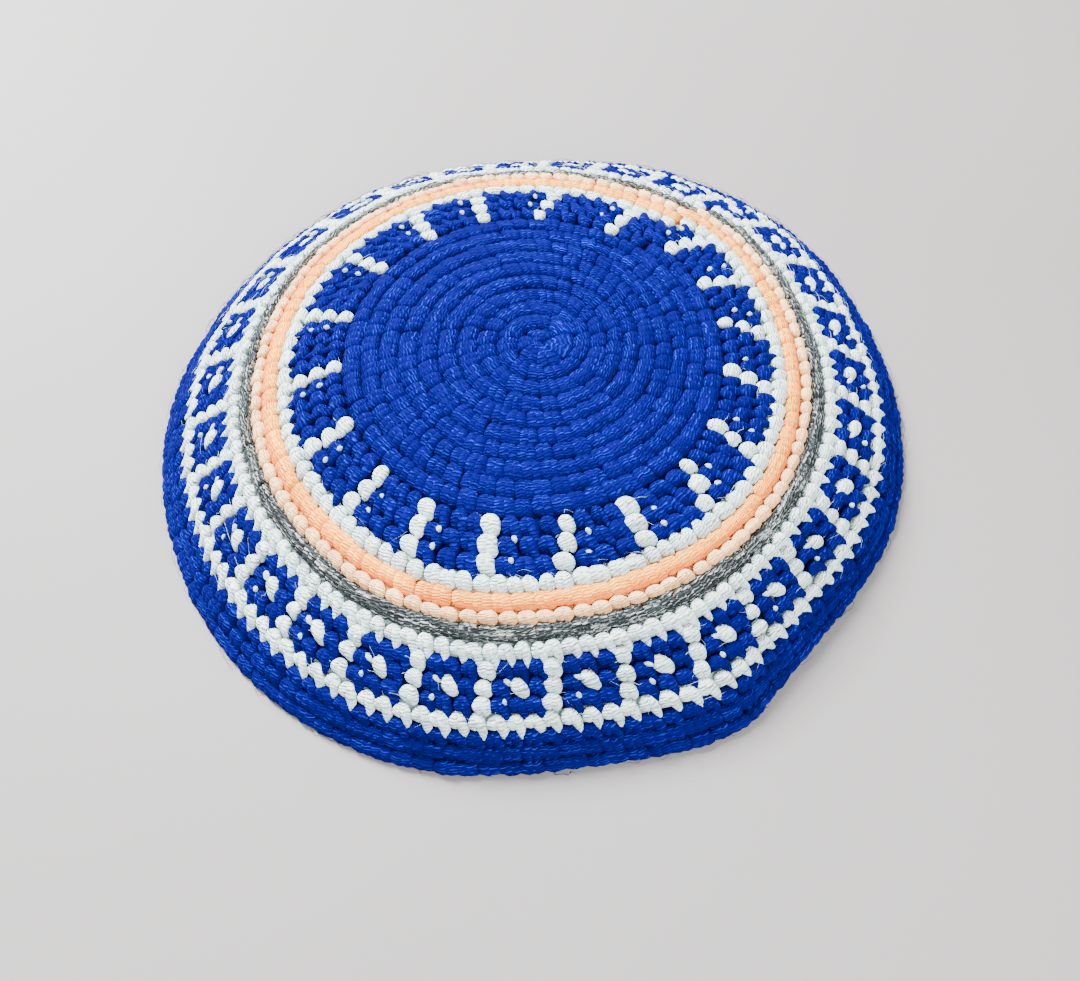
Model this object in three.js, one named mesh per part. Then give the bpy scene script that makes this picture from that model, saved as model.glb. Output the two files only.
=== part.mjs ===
import * as THREE from "three";

// A hand-crocheted kippah lying dome up on a surface.
// Millimetres, +Z up, the wearer's front towards -Y, the origin under the middle of the rim's outline.
// It is worked outwards from the crown in one spiral of single crochet, and the yarn changes
// where a full round is done, so each stretch in its own yarn is a mesh of its own.

// Driving sizes
const rimRadius = 95;
const crownHeight = 33;
const fabricThickness = 3.2;
const yarnGap = 0.3;
const ribDepth = 0.6;

// Where the spiral's turns start, counted from the front towards +X.
const seamAngle = 140;

// How finely the fabric is cut into flat faces.
const columnsAround = 48;
const innerRowEvery = 2;

// The outer face's section, from the top of the crown to the surface it rests on.
// radius is a share of rimRadius, height a share of crownHeight.
const section = [
  { radius: 0.0, height: 1.0 },
  { radius: 0.25, height: 0.985 },
  { radius: 0.48, height: 0.918 },
  { radius: 0.665, height: 0.788 },
  { radius: 0.755, height: 0.682 },
  { radius: 0.84, height: 0.51 },
  { radius: 0.925, height: 0.315 },
  { radius: 1.0, height: 0.05 },
  { radius: 1.0, height: 0.0 },
];

// How the soft cap has slumped out of round. angle is counted from the front towards +X,
// shoulder and rim are shares of the round radius at the shoulder below the crown and at the rim.
const outline = [
  { angle: -180, shoulder: 0.985, rim: 0.99 },
  { angle: -158, shoulder: 0.985, rim: 0.995 },
  { angle: -135, shoulder: 0.983, rim: 0.99 },
  { angle: -112, shoulder: 0.978, rim: 0.985 },
  { angle: -90, shoulder: 0.975, rim: 0.993 },
  { angle: -65, shoulder: 0.988, rim: 0.993 },
  { angle: -45, shoulder: 0.995, rim: 1.003 },
  { angle: -28, shoulder: 1.01, rim: 1.008 },
  { angle: -12, shoulder: 1.003, rim: 0.999 },
  { angle: 8, shoulder: 0.978, rim: 0.973 },
  { angle: 30, shoulder: 0.972, rim: 1.005 },
  { angle: 38, shoulder: 0.978, rim: 0.975 },
  { angle: 50, shoulder: 0.98, rim: 0.96 },
  { angle: 70, shoulder: 0.973, rim: 0.997 },
  { angle: 90, shoulder: 0.97, rim: 1.015 },
  { angle: 110, shoulder: 0.978, rim: 1.035 },
  { angle: 130, shoulder: 1.002, rim: 1.07 },
  { angle: 155, shoulder: 0.988, rim: 1.06 },
];
const shoulderPlace = 0.6;

// The yarns from the crown outwards, with the number of rounds worked in each. height is how far a
// round of that yarn stands from the next, as a share of a plain round of the crown.
const yarns = [
  { name: "crown", rounds: 10, height: 1.0, colour: 0x1236b4, roughness: 0.85 },
  { name: "point_band", rounds: 3, height: 1.02, colour: 0x1a3cae, roughness: 0.85 },
  { name: "upper_white_round", rounds: 1, height: 0.9, colour: 0xe6ebe4, roughness: 0.9 },
  { name: "peach_round", rounds: 1, height: 1.0, colour: 0xf2b48c, roughness: 0.9 },
  { name: "cream_round", rounds: 1, height: 0.74, colour: 0xf3e2cf, roughness: 0.9 },
  { name: "grey_round", rounds: 1, height: 0.7, colour: 0x7d8a8b, roughness: 0.9 },
  { name: "window_band", rounds: 5, height: 0.91, colour: 0xc4cede, roughness: 0.9 },
  { name: "rim_border", rounds: 2, height: 0.91, colour: 0x1234ac, roughness: 0.85 },
  { name: "rim_edge", rounds: 1, height: 0.91, colour: 0x1030a0, roughness: 0.85 },
];
const borderYarns = 2;

const borderRounds = yarns.slice(-borderYarns).reduce((sum, yarn) => sum + yarn.rounds, 0);
const roundShares = yarns.flatMap(({ rounds, height }) => Array(rounds).fill(height));
const allRounds = roundShares.length;
const borderStart = allRounds - borderRounds;

// Over the border the spiral runs out, so that the rim lies level. Past its last full round it has
// this share of a plain round still to go.
const rimShare = 0.55;
const sharesDone = roundShares.reduce((sums, share) => [...sums, sums.at(-1) + share], [0]);
const sharesInAll = sharesDone.at(-1) + rimShare;

const sectionCurve = new THREE.SplineCurve(
  section.map(({ radius, height }) => new THREE.Vector2(radius * rimRadius, height * crownHeight)),
);
sectionCurve.arcLengthDivisions = 600;
const sectionLength = sectionCurve.getLength();

// A smooth closed curve through one column of the outline table.
function outlineShare(column, angle) {
  const rows = outline.length;
  const turned = THREE.MathUtils.euclideanModulo(angle - outline[0].angle, 360) + outline[0].angle;
  const row = (step) => {
    const wrapped = THREE.MathUtils.euclideanModulo(step, rows);
    return { angle: outline[wrapped].angle + 360 * Math.floor(step / rows), share: outline[wrapped][column] };
  };
  let start = 0;
  while (row(start + 1).angle <= turned) start += 1;
  const [before, from, to, after] = [-1, 0, 1, 2].map((step) => row(start + step));
  const span = to.angle - from.angle;
  const slopeFrom = ((to.share - before.share) / (to.angle - before.angle)) * span;
  const slopeTo = ((after.share - from.share) / (after.angle - from.angle)) * span;
  const t = (turned - from.angle) / span;
  const held = from.share * (1 + 2 * t) * (1 - t) ** 2 + to.share * (3 - 2 * t) * t ** 2;
  return held + slopeFrom * t * (1 - t) ** 2 - slopeTo * t ** 2 * (1 - t);
}

// How far out of round the fabric is at a place along the section, from 0 at the top to 1 at the rim.
function slump(angle, place) {
  const shoulder = outlineShare("shoulder", angle) - 1;
  const rim = outlineShare("rim", angle) - 1;
  if (place < shoulderPlace) return 1 + shoulder * (place / shoulderPlace);
  const down = (place - shoulderPlace) / (1 - shoulderPlace);
  return 1 + shoulder + (rim - shoulder) * down;
}

// How far a place in the spiral is from the top, along the section. round counts whole rounds, with
// its fraction inside the round's height, and the spiral grows by one round in each turn.
function spiralAlong(round, angle) {
  const whole = Math.min(Math.floor(round), allRounds - 1);
  const within = round - whole;
  const share = roundShares[whole];
  const nextShare = roundShares[Math.min(whole + 1, allRounds - 1)];
  const turn = THREE.MathUtils.euclideanModulo(angle - seamAngle, 360) / 360;
  const growth = turn * THREE.MathUtils.lerp(share, nextShare, within);
  const intoBorder = Math.max(0, (round - borderStart) / borderRounds);
  const shares = sharesDone[whole] + within * share + THREE.MathUtils.lerp(growth, rimShare, intoBorder);
  return (shares / sharesInAll) * sectionLength;
}

// At its very edge the fabric heads straight down, so the rim has a level face to lie on.
const rimHeading = new THREE.Vector2(0, -1);

// A point of the fabric: an angle, a place along the section, and a depth below the outer face.
function fabricPoint(angle, along, depth) {
  const place = THREE.MathUtils.clamp(along / sectionLength, 0, 1);
  const at = sectionCurve.getPointAt(place);
  const heading = place < 1 ? sectionCurve.getTangentAt(place) : rimHeading;
  const radius = (at.x + heading.y * depth) * slump(angle, place);
  const height = at.y - heading.x * depth;
  const turned = THREE.MathUtils.degToRad(angle);
  return new THREE.Vector3(radius * Math.sin(turned), -radius * Math.cos(turned), height);
}

// The rows of one yarn's stretch, outer face first and back along the inner face.
function stretchRows(firstRound, rounds) {
  const outer = [];
  for (let step = 0; step <= 2 * rounds; step += 1) {
    outer.push({ round: firstRound + step / 2, depth: step % 2 === 0 ? ribDepth : 0 });
  }
  const inner = [];
  for (let round = 0; round < rounds; round += innerRowEvery) {
    inner.push({ round: firstRound + round, depth: fabricThickness });
  }
  inner.push({ round: firstRound + rounds, depth: fabricThickness });
  return [...outer, ...inner.reverse()];
}

// One yarn's stretch as a closed ring, or as a closed cap where it starts at the top.
function yarnStretch(firstRound, rounds) {
  const lastRound = firstRound + rounds;
  const startsAtTop = firstRound === 0;
  const endsAtRim = lastRound === allRounds;
  const isTop = (row) => startsAtTop && row.round === 0;
  const rows = stretchRows(firstRound, rounds);
  const positions = [];
  const faces = [];
  const firstVertex = [];
  for (const row of rows) {
    firstVertex.push(positions.length / 3);
    if (isTop(row)) {
      positions.push(...fabricPoint(0, 0, row.depth).toArray());
      continue;
    }
    for (let column = 0; column < columnsAround; column += 1) {
      const angle = (360 * column) / columnsAround + seamAngle;
      let along = spiralAlong(row.round, angle);
      if (row.round === firstRound) along += yarnGap / 2;
      if (row.round === lastRound && !endsAtRim) along -= yarnGap / 2;
      positions.push(...fabricPoint(angle, along, row.depth).toArray());
    }
  }
  for (let index = 0; index < rows.length; index += 1) {
    const next = (index + 1) % rows.length;
    if (isTop(rows[index]) && isTop(rows[next])) continue;
    for (let column = 0; column < columnsAround; column += 1) {
      const beside = (column + 1) % columnsAround;
      const corner = (row, step) => firstVertex[row] + (isTop(rows[row]) ? 0 : step);
      const [a, b] = [corner(index, column), corner(index, beside)];
      const [c, d] = [corner(next, column), corner(next, beside)];
      if (a !== b) faces.push(a, c, b);
      if (c !== d) faces.push(b, c, d);
    }
  }
  const geometry = new THREE.BufferGeometry();
  geometry.setAttribute("position", new THREE.Float32BufferAttribute(positions, 3));
  geometry.setIndex(faces);
  geometry.computeVertexNormals();
  return geometry;
}

const cap = new THREE.Group();
let roundsDone = 0;
for (const { name, rounds, colour, roughness } of yarns) {
  const material = new THREE.MeshStandardMaterial({ color: colour, roughness, metalness: 0 });
  const stretch = new THREE.Mesh(yarnStretch(roundsDone, rounds), material);
  stretch.name = name;
  cap.add(stretch);
  roundsDone += rounds;
}

// The out-of-round cap is set with the middle of its outline over the origin.
const middle = new THREE.Box3().setFromObject(cap).getCenter(new THREE.Vector3());
cap.position.set(-middle.x, -middle.y, 0);
const kippah = new THREE.Group();
kippah.add(cap);

export default kippah;
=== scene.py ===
"""Dresses a packed hand-crocheted kippah: its stitches, yarns, floor, lights and camera."""

import logging
import math
from dataclasses import astuple, dataclass, field, fields, replace
from enum import Enum

import bpy
import numpy as np
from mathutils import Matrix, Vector


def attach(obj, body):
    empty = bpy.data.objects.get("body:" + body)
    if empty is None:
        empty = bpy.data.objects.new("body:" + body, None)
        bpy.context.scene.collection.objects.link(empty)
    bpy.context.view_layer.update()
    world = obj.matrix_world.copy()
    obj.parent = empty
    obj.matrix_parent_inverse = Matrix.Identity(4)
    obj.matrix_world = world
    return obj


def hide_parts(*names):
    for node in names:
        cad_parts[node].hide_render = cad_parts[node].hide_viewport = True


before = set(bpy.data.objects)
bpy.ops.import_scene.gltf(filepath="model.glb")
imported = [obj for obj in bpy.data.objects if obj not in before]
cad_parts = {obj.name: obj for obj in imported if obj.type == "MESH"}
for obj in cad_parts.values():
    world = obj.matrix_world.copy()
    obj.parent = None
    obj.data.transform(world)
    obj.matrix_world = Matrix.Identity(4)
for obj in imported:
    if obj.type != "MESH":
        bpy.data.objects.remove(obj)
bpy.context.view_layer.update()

LOG = logging.getLogger("kippah")

MM = 0.001
FULL_TURN = 360.0
HALF_TURN = 180.0
NEARLY_NOTHING = 1e-6

# Where finished rings of a strand wait while the others are shaped, and how near a ring's height
# a point lies that belongs to it.
FINISHED_LIFT = 10.0
RING_REACH = 1e-4

# At its very edge the fabric heads straight down, as sideways and upwards.
STRAIGHT_DOWN = (0.0, -1.0)

# Depth of the wall between the stitches below the fabric's outer face, and how much deeper the bars
# on the inside start than a mirrored outside would.
OUTER_GROUND = 1.25 * MM
INNER_SINK = 0.15 * MM

# A stitch is taken about its middle, and from here on, in rounds from its start, it is tail.
MIDDLE = 0.5
TAIL_FROM = 0.9

# What a piece's mesh carries for its yarns' materials.
THREAD_MAP = "threads"
TONE = "tone"
REACH = "reach"


# The fabric


@dataclass(frozen=True)
class SectionRow:
    """One point of the outer face's section, as shares of the rim's radius and the crown's height."""

    radius: float
    height: float


@dataclass(frozen=True)
class OutlineRow:
    """How far the shoulder and the rim stand from a true circle at one angle."""

    angle: float
    shoulder: float
    rim: float


@dataclass(frozen=True)
class Band:
    """A stretch of the spiral in its own yarn: how many rounds it has and how tall each one is."""

    node: str
    rounds: int
    height: float


SECTION = (
    SectionRow(0.0, 1.0),
    SectionRow(0.25, 0.985),
    SectionRow(0.48, 0.918),
    SectionRow(0.665, 0.788),
    SectionRow(0.755, 0.682),
    SectionRow(0.84, 0.51),
    SectionRow(0.925, 0.315),
    SectionRow(1.0, 0.05),
    SectionRow(1.0, 0.0),
)

OUTLINE = (
    OutlineRow(-180, 0.985, 0.99),
    OutlineRow(-158, 0.985, 0.995),
    OutlineRow(-135, 0.983, 0.99),
    OutlineRow(-112, 0.978, 0.985),
    OutlineRow(-90, 0.975, 0.993),
    OutlineRow(-65, 0.988, 0.993),
    OutlineRow(-45, 0.995, 1.003),
    OutlineRow(-28, 1.01, 1.008),
    OutlineRow(-12, 1.003, 0.999),
    OutlineRow(8, 0.978, 0.973),
    OutlineRow(30, 0.972, 1.005),
    OutlineRow(38, 0.978, 0.975),
    OutlineRow(50, 0.98, 0.96),
    OutlineRow(70, 0.973, 0.997),
    OutlineRow(90, 0.97, 1.015),
    OutlineRow(110, 0.978, 1.035),
    OutlineRow(130, 1.002, 1.07),
    OutlineRow(155, 0.988, 1.06),
)

BANDS = (
    Band("crown", 10, 1.0),
    Band("point_band", 3, 1.02),
    Band("upper_white_round", 1, 0.9),
    Band("peach_round", 1, 1.0),
    Band("cream_round", 1, 0.74),
    Band("grey_round", 1, 0.7),
    Band("window_band", 5, 0.91),
    Band("rim_border", 2, 0.91),
    Band("rim_edge", 1, 0.91),
)


@dataclass
class Fabric:
    """The worked fabric as one surface: places in the spiral go in, places in the room come out."""

    rim_radius: float = 95 * MM
    crown_height: float = 33 * MM
    thickness: float = 3.2 * MM
    seam_angle: float = 140.0
    border_rounds: int = 3
    rim_share: float = 0.55
    shoulder_place: float = 0.6
    # The start of the spiral lies this far to the right, and the rounds near it less and less so.
    start_drift: float = 2.8 * MM
    drift_until: float = 0.42
    curve_steps: int = 4800
    outline_step: float = 0.25
    columns_of_cad: int = 48
    rows_to_centre: int = 120
    centre_from: float = 0.5
    bands: tuple[Band, ...] = BANDS
    middle: np.ndarray = field(default_factory=lambda: np.zeros(2))

    def __post_init__(self) -> None:
        """Works out the section, the outline and the spiral from the named sizes."""
        self.shares = np.array([band.height for band in self.bands for _ in range(band.rounds)])
        self.rounds = len(self.shares)
        self.border_start = self.rounds - self.border_rounds
        self.shares_done = np.concatenate([[0.0], np.cumsum(self.shares)])
        self.shares_in_all = self.shares_done[-1] + self.rim_share
        self._lay_section()
        self._lay_outline()
        self._centre()

    def _lay_section(self) -> None:
        """Runs a smooth curve through the section's rows and measures it along its length."""
        rows = np.array([(row.radius * self.rim_radius, row.height * self.crown_height) for row in SECTION])
        last = len(rows) - 1
        at = np.linspace(0, last, self.curve_steps + 1)
        start = np.minimum(at.astype(int), last - 1)
        t = (at - start)[:, None]
        before, here = rows[np.maximum(start - 1, 0)], rows[start]
        there, after = rows[np.minimum(start + 1, last)], rows[np.minimum(start + 2, last)]
        slope_here, slope_there = (there - before) / 2, (after - here) / 2
        curve = (2 * here - 2 * there + slope_here + slope_there) * t**3
        curve += (-3 * here + 3 * there - 2 * slope_here - slope_there) * t**2
        curve += slope_here * t + here
        lengths = np.hypot(*np.diff(curve, axis=0).T)
        self.curve = curve
        self.curve_length = np.concatenate([[0.0], np.cumsum(lengths)])
        self.length = self.curve_length[-1]
        heading = np.gradient(curve, axis=0)
        self.heading = heading / np.hypot(*heading.T)[:, None]
        self.heading[-1] = STRAIGHT_DOWN

    def _lay_outline(self) -> None:
        """Runs closed smooth curves through the outline's rows."""
        angles = np.array([row.angle for row in OUTLINE], float)
        steps = round(FULL_TURN / self.outline_step)
        self.outline_angles = np.arange(steps + 1) * self.outline_step - HALF_TURN
        self.shoulder = self._closed_curve(angles, np.array([row.shoulder for row in OUTLINE]))
        self.rim = self._closed_curve(angles, np.array([row.rim for row in OUTLINE]))

    def _closed_curve(self, angles: np.ndarray, shares: np.ndarray) -> np.ndarray:
        """Interpolates shares round the cap.

        Args:
            angles: The rows' angles in degrees, rising.
            shares: One share a row.

        Returns:
            The smooth share at each of the outline's angles.
        """
        around = np.concatenate([angles - FULL_TURN, angles, angles + FULL_TURN])
        values = np.tile(shares, 3)
        row = np.searchsorted(around, self.outline_angles, side="right") - 1
        last, there, after = row - 1, row + 1, row + 2
        span = around[there] - around[row]
        slope_from = (values[there] - values[last]) / (around[there] - around[last]) * span
        slope_to = (values[after] - values[row]) / (around[after] - around[row]) * span
        t = (self.outline_angles - around[row]) / span
        held = values[row] * (1 + 2 * t) * (1 - t) ** 2 + values[there] * (3 - 2 * t) * t**2
        return held + slope_from * t * (1 - t) ** 2 - slope_to * t**2 * (1 - t)

    def _centre(self) -> None:
        """Puts the middle of the rim's box over the origin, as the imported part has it."""
        angles = np.arange(self.columns_of_cad) * FULL_TURN / self.columns_of_cad
        along = np.linspace(self.centre_from, 1.0, self.rows_to_centre) * self.length
        grid_angles, grid_along = np.meshgrid(angles, along)
        points = self.point(grid_angles.ravel(), grid_along.ravel(), np.zeros(grid_along.size))
        self.middle = (points[:, :2].max(axis=0) + points[:, :2].min(axis=0)) / 2

    def slump(self, angle: np.ndarray, place: np.ndarray) -> np.ndarray:
        """How far the soft cap has spread or drawn in.

        Args:
            angle: Degrees from the front towards +X.
            place: Share of the section's length from the crown's middle.

        Returns:
            The radius there as a share of the round cap's.
        """
        wrapped = (angle + HALF_TURN) % FULL_TURN - HALF_TURN
        shoulder = np.interp(wrapped, self.outline_angles, self.shoulder) - 1
        rim = np.interp(wrapped, self.outline_angles, self.rim) - 1
        down = np.clip((place - self.shoulder_place) / (1 - self.shoulder_place), 0, 1)
        upper = shoulder * np.minimum(place / self.shoulder_place, 1)
        return 1 + upper + (rim - shoulder) * down

    def point(self, angle: np.ndarray, along: np.ndarray, depth: np.ndarray) -> np.ndarray:
        """Places on or in the fabric.

        Args:
            angle: Degrees from the front towards +X.
            along: Metres along the section from the crown's middle.
            depth: Metres below the outer face; less than nothing stands proud of it.

        Returns:
            One row of x, y and z for each place.
        """
        length = np.clip(along, 0, self.length)
        x, z = (np.interp(length, self.curve_length, self.curve[:, axis]) for axis in (0, 1))
        hx, hz = (np.interp(length, self.curve_length, self.heading[:, axis]) for axis in (0, 1))
        place = length / self.length
        radius = (x + hz * depth) * self.slump(angle, place)
        turned = np.radians(angle)
        fade = np.clip(1 - place / self.drift_until, 0, 1)
        drift = self.start_drift * fade**2 * (3 - 2 * fade)
        sideways = radius * np.sin(turned) + drift - self.middle[0]
        forwards = -radius * np.cos(turned) - self.middle[1]
        return np.stack([sideways, forwards, np.maximum(z - hx * depth, 0.0)], axis=1)

    def along(self, place: np.ndarray, turn: np.ndarray) -> np.ndarray:
        """Metres along the section of a place in the spiral.

        Args:
            place: Rounds from the start, whole and part, at the turn's own column.
            turn: Share of a full turn from the seam, which may pass 0 or 1 within a stitch.

        Returns:
            The length from the crown's middle to the place.
        """
        whole = np.clip(np.floor(place), 0, self.rounds - 1).astype(int)
        within = place - whole
        share = self.shares[whole]
        next_share = self.shares[np.minimum(whole + 1, self.rounds - 1)]
        growth = turn * (share + (next_share - share) * np.clip(within, 0, 1))
        growth = np.where(whole == 0, growth * np.clip(within, 0, 1), growth)
        border = np.clip((place - self.border_start) / self.border_rounds, 0, 1)
        shares = self.shares_done[whole] + within * share + growth * (1 - border)
        return (shares + self.rim_share * border) / self.shares_in_all * self.length

    def spiral_point(self, place: np.ndarray, turn: np.ndarray, depth: np.ndarray) -> np.ndarray:
        """Places in the room of places in the spiral, given in rounds, turns and depth."""
        return self.point(self.seam_angle + FULL_TURN * turn, self.along(place, turn), depth)

    def first_round(self, node: str) -> int:
        """Number of the first round of a band."""
        names = [band.node for band in self.bands]
        return sum(band.rounds for band in self.bands[: names.index(node)])


# Shapes worked once


class Axis(Enum):
    """The direction in which a strand runs: across its round, or along it."""

    ACROSS = 1
    ALONG = 0


@dataclass(frozen=True)
class Ring:
    """One ring of a strand.

    The strand runs from ring to ring. run is the place along it, side the place beside it and half its
    half width, each in stitches or rounds. lift is its middle's height over the wall between the
    stitches and thick its half thickness, both in millimetres.
    """

    run: float
    side: float
    half: float
    lift: float
    thick: float


@dataclass
class Strand:
    """A length of yarn as it shows in one stitch: a closed, tapered, bent body."""

    rings: tuple[Ring, ...]
    axis: Axis = Axis.ACROSS
    sides: int = 8

    def build(self) -> "Pattern":
        """Models the strand from a ball, ring by ring, and reads it back as arrays.

        Returns:
            The strand's points, faces and thread coordinates.
        """
        steps = len(self.rings) - 1
        bpy.ops.object.select_all(action="DESELECT")
        bpy.ops.mesh.primitive_uv_sphere_add(segments=self.sides, ring_count=steps, radius=1.0)
        ball = bpy.context.object
        for step, ring in enumerate(self.rings):
            self._shape_ring(ball, math.cos(math.pi * step / steps), ring)
        pattern = Pattern.read(ball, self.axis)
        bpy.data.objects.remove(ball, do_unlink=True)
        return pattern

    def _shape_ring(self, ball: bpy.types.Object, height: float, ring: Ring) -> None:
        """Scales and moves one ring of the ball to its place in the strand.

        Args:
            ball: The ball that the strand is shaped from.
            height: The ring's height in the ball.
            ring: What the ring becomes.
        """
        bpy.ops.object.mode_set(mode="EDIT")
        bpy.ops.mesh.select_mode(type="VERT")
        bpy.ops.mesh.select_all(action="DESELECT")
        bpy.ops.object.mode_set(mode="OBJECT")
        radius = math.sqrt(max(0.0, 1 - height * height))
        for vertex in ball.data.vertices:
            vertex.select = abs(vertex.co.z - height) < RING_REACH
        bpy.ops.object.mode_set(mode="EDIT")
        if radius > RING_REACH:
            bpy.ops.transform.resize(
                value=(ring.half / radius, ring.thick / radius, 1), center_override=(0, 0, height)
            )
        # Rings that wait their turn stay in -1..1, and finished ones go well out of their way.
        bpy.ops.transform.translate(value=(ring.side, ring.lift, FINISHED_LIFT + ring.run - height))
        bpy.ops.object.mode_set(mode="OBJECT")


def read_all(items: bpy.types.bpy_prop_collection, name: str, size: int) -> np.ndarray:
    """Reads one property of many mesh elements.

    Args:
        items: The mesh's vertices or coordinates.
        name: The property's name.
        size: How many numbers it has.

    Returns:
        One row for each element.
    """
    values = np.empty(len(items) * size)
    items.foreach_get(name, values)
    return values.reshape(-1, size)


def read_faces(mesh: bpy.types.Mesh) -> tuple[np.ndarray, np.ndarray]:
    """Reads a mesh's faces.

    Args:
        mesh: The mesh.

    Returns:
        The point of every corner, and the first corner of every face.
    """
    loops = np.empty(len(mesh.loops), int)
    mesh.loops.foreach_get("vertex_index", loops)
    starts = np.empty(len(mesh.polygons), int)
    mesh.polygons.foreach_get("loop_start", starts)
    return loops, starts


@dataclass
class Pattern:
    """A modelled shape as arrays, ready to be copied hundreds of times."""

    points: np.ndarray
    loops: np.ndarray
    starts: np.ndarray
    threads: np.ndarray

    @classmethod
    def read(cls, ball: bpy.types.Object, axis: Axis) -> "Pattern":
        """Reads a modelled strand, with its run along the axis that it is worked in.

        Args:
            ball: The shaped ball.
            axis: The direction in which the strand runs.

        Returns:
            The strand as arrays, its faces looking outwards.
        """
        mesh = ball.data
        side, lift, run = read_all(mesh.vertices, "co", 3).T
        run = run - FINISHED_LIFT
        across = axis is Axis.ACROSS
        points = np.stack([side if across else run, run if across else side, lift], axis=1)
        loops, starts = read_faces(mesh)
        pattern = cls(points, loops, starts, read_all(mesh.uv_layers.active.data, "uv", 2))
        return pattern if pattern.volume() > 0 else pattern.turned()

    def _faces(self) -> list[np.ndarray]:
        """Where each face's corners stand among all corners."""
        return np.split(np.arange(len(self.loops)), self.starts[1:])

    def volume(self) -> float:
        """Signed size of the body.

        Returns:
            Six times its volume, above nothing where its faces look outwards.
        """
        total = 0.0
        for face in self._faces():
            first, *others = self.points[self.loops[face]]
            for here, there in zip(others, others[1:]):
                total += np.dot(first, np.cross(here, there))
        return total

    def turned(self) -> "Pattern":
        """The same body with every face's corners in the opposite order."""
        order = np.concatenate([face[::-1] for face in self._faces()])
        return Pattern(self.points, self.loops[order], self.starts, self.threads[order])


# A stitch whose top loop shows, run down the round: a short left leg, and a right leg that ends in
# the loop, which lies between the stitches of the next round.
SHORT_LEG = (
    Ring(-0.04, -0.10, 0.0, 0.42, 0.0),
    Ring(0.01, -0.11, 0.18, 0.60, 0.62),
    Ring(0.13, -0.15, 0.29, 0.74, 1.00),
    Ring(0.30, -0.18, 0.36, 0.80, 1.28),
    Ring(0.49, -0.19, 0.38, 0.74, 1.34),
    Ring(0.67, -0.17, 0.36, 0.60, 1.20),
    Ring(0.84, -0.13, 0.29, 0.38, 0.90),
    Ring(0.95, -0.09, 0.17, 0.14, 0.52),
    Ring(1.02, -0.06, 0.0, 0.0, 0.0),
)
LONG_LEG = (
    Ring(-0.05, -0.02, 0.0, 0.42, 0.0),
    Ring(0.01, 0.00, 0.18, 0.62, 0.62),
    Ring(0.14, 0.05, 0.29, 0.78, 1.02),
    Ring(0.34, 0.12, 0.37, 0.86, 1.26),
    Ring(0.56, 0.18, 0.38, 0.82, 1.24),
    Ring(0.78, 0.26, 0.34, 0.74, 1.06),
    Ring(0.97, 0.34, 0.28, 0.68, 0.92),
    Ring(1.15, 0.40, 0.23, 0.72, 0.86),
    Ring(1.34, 0.45, 0.16, 0.70, 0.72),
    Ring(1.52, 0.48, 0.0, 0.46, 0.0),
)
# The right leg of a stitch that stands apart and ends where its own round does.
PLUMP_LEG = (
    *LONG_LEG[:3],
    Ring(0.34, 0.11, 0.37, 0.86, 1.26),
    Ring(0.56, 0.15, 0.38, 0.82, 1.24),
    Ring(0.76, 0.19, 0.34, 0.66, 1.04),
    Ring(0.94, 0.23, 0.25, 0.42, 0.74),
    Ring(1.06, 0.26, 0.13, 0.20, 0.42),
    Ring(1.13, 0.28, 0.0, 0.05, 0.0),
)
# The one white stitch in a window: plump, slanted, and shut at its foot.
CENTRE_BODY = (
    Ring(-0.08, -0.18, 0.0, 0.42, 0.0),
    Ring(-0.02, -0.18, 0.26, 0.62, 0.66),
    Ring(0.12, -0.14, 0.42, 0.80, 1.05),
    Ring(0.33, -0.06, 0.53, 0.88, 1.30),
    Ring(0.56, 0.04, 0.55, 0.84, 1.30),
    Ring(0.78, 0.15, 0.48, 0.72, 1.10),
    Ring(0.97, 0.25, 0.34, 0.52, 0.82),
    Ring(1.10, 0.32, 0.19, 0.36, 0.50),
    Ring(1.18, 0.36, 0.0, 0.20, 0.0),
)
# A stitch under which its own yarn goes on: both legs run into their neighbours, so that the round
# reads as one ridge, and they end in the groove under it.
RIDGE_LEFT = (
    Ring(-0.10, -0.22, 0.0, 0.30, 0.0),
    Ring(-0.05, -0.22, 0.27, 0.50, 0.84),
    Ring(0.08, -0.22, 0.39, 0.60, 1.15),
    Ring(0.28, -0.20, 0.44, 0.67, 1.26),
    Ring(0.48, -0.18, 0.45, 0.66, 1.26),
    Ring(0.68, -0.15, 0.43, 0.58, 1.18),
    Ring(0.85, -0.12, 0.38, 0.45, 1.02),
    Ring(0.97, -0.10, 0.27, 0.25, 0.72),
    Ring(1.04, -0.08, 0.0, 0.0, 0.0),
)
RIDGE_RIGHT = (
    Ring(-0.08, 0.10, 0.0, 0.30, 0.0),
    Ring(-0.03, 0.11, 0.27, 0.50, 0.84),
    Ring(0.11, 0.14, 0.39, 0.62, 1.14),
    Ring(0.32, 0.17, 0.44, 0.69, 1.26),
    Ring(0.52, 0.20, 0.45, 0.68, 1.24),
    Ring(0.71, 0.24, 0.42, 0.58, 1.12),
    Ring(0.88, 0.28, 0.36, 0.42, 0.94),
    Ring(1.01, 0.31, 0.24, 0.22, 0.64),
    Ring(1.09, 0.34, 0.0, 0.0, 0.0),
)
# The bar of yarn that a stitch leaves on the inside, along its round.
BACK_BAR = (
    Ring(-0.58, 0.62, 0.0, 0.25, 0.0),
    Ring(-0.40, 0.60, 0.22, 0.50, 0.65),
    Ring(-0.10, 0.52, 0.33, 0.68, 0.95),
    Ring(0.22, 0.44, 0.31, 0.66, 0.92),
    Ring(0.50, 0.38, 0.19, 0.46, 0.60),
    Ring(0.66, 0.34, 0.0, 0.20, 0.0),
)
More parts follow.
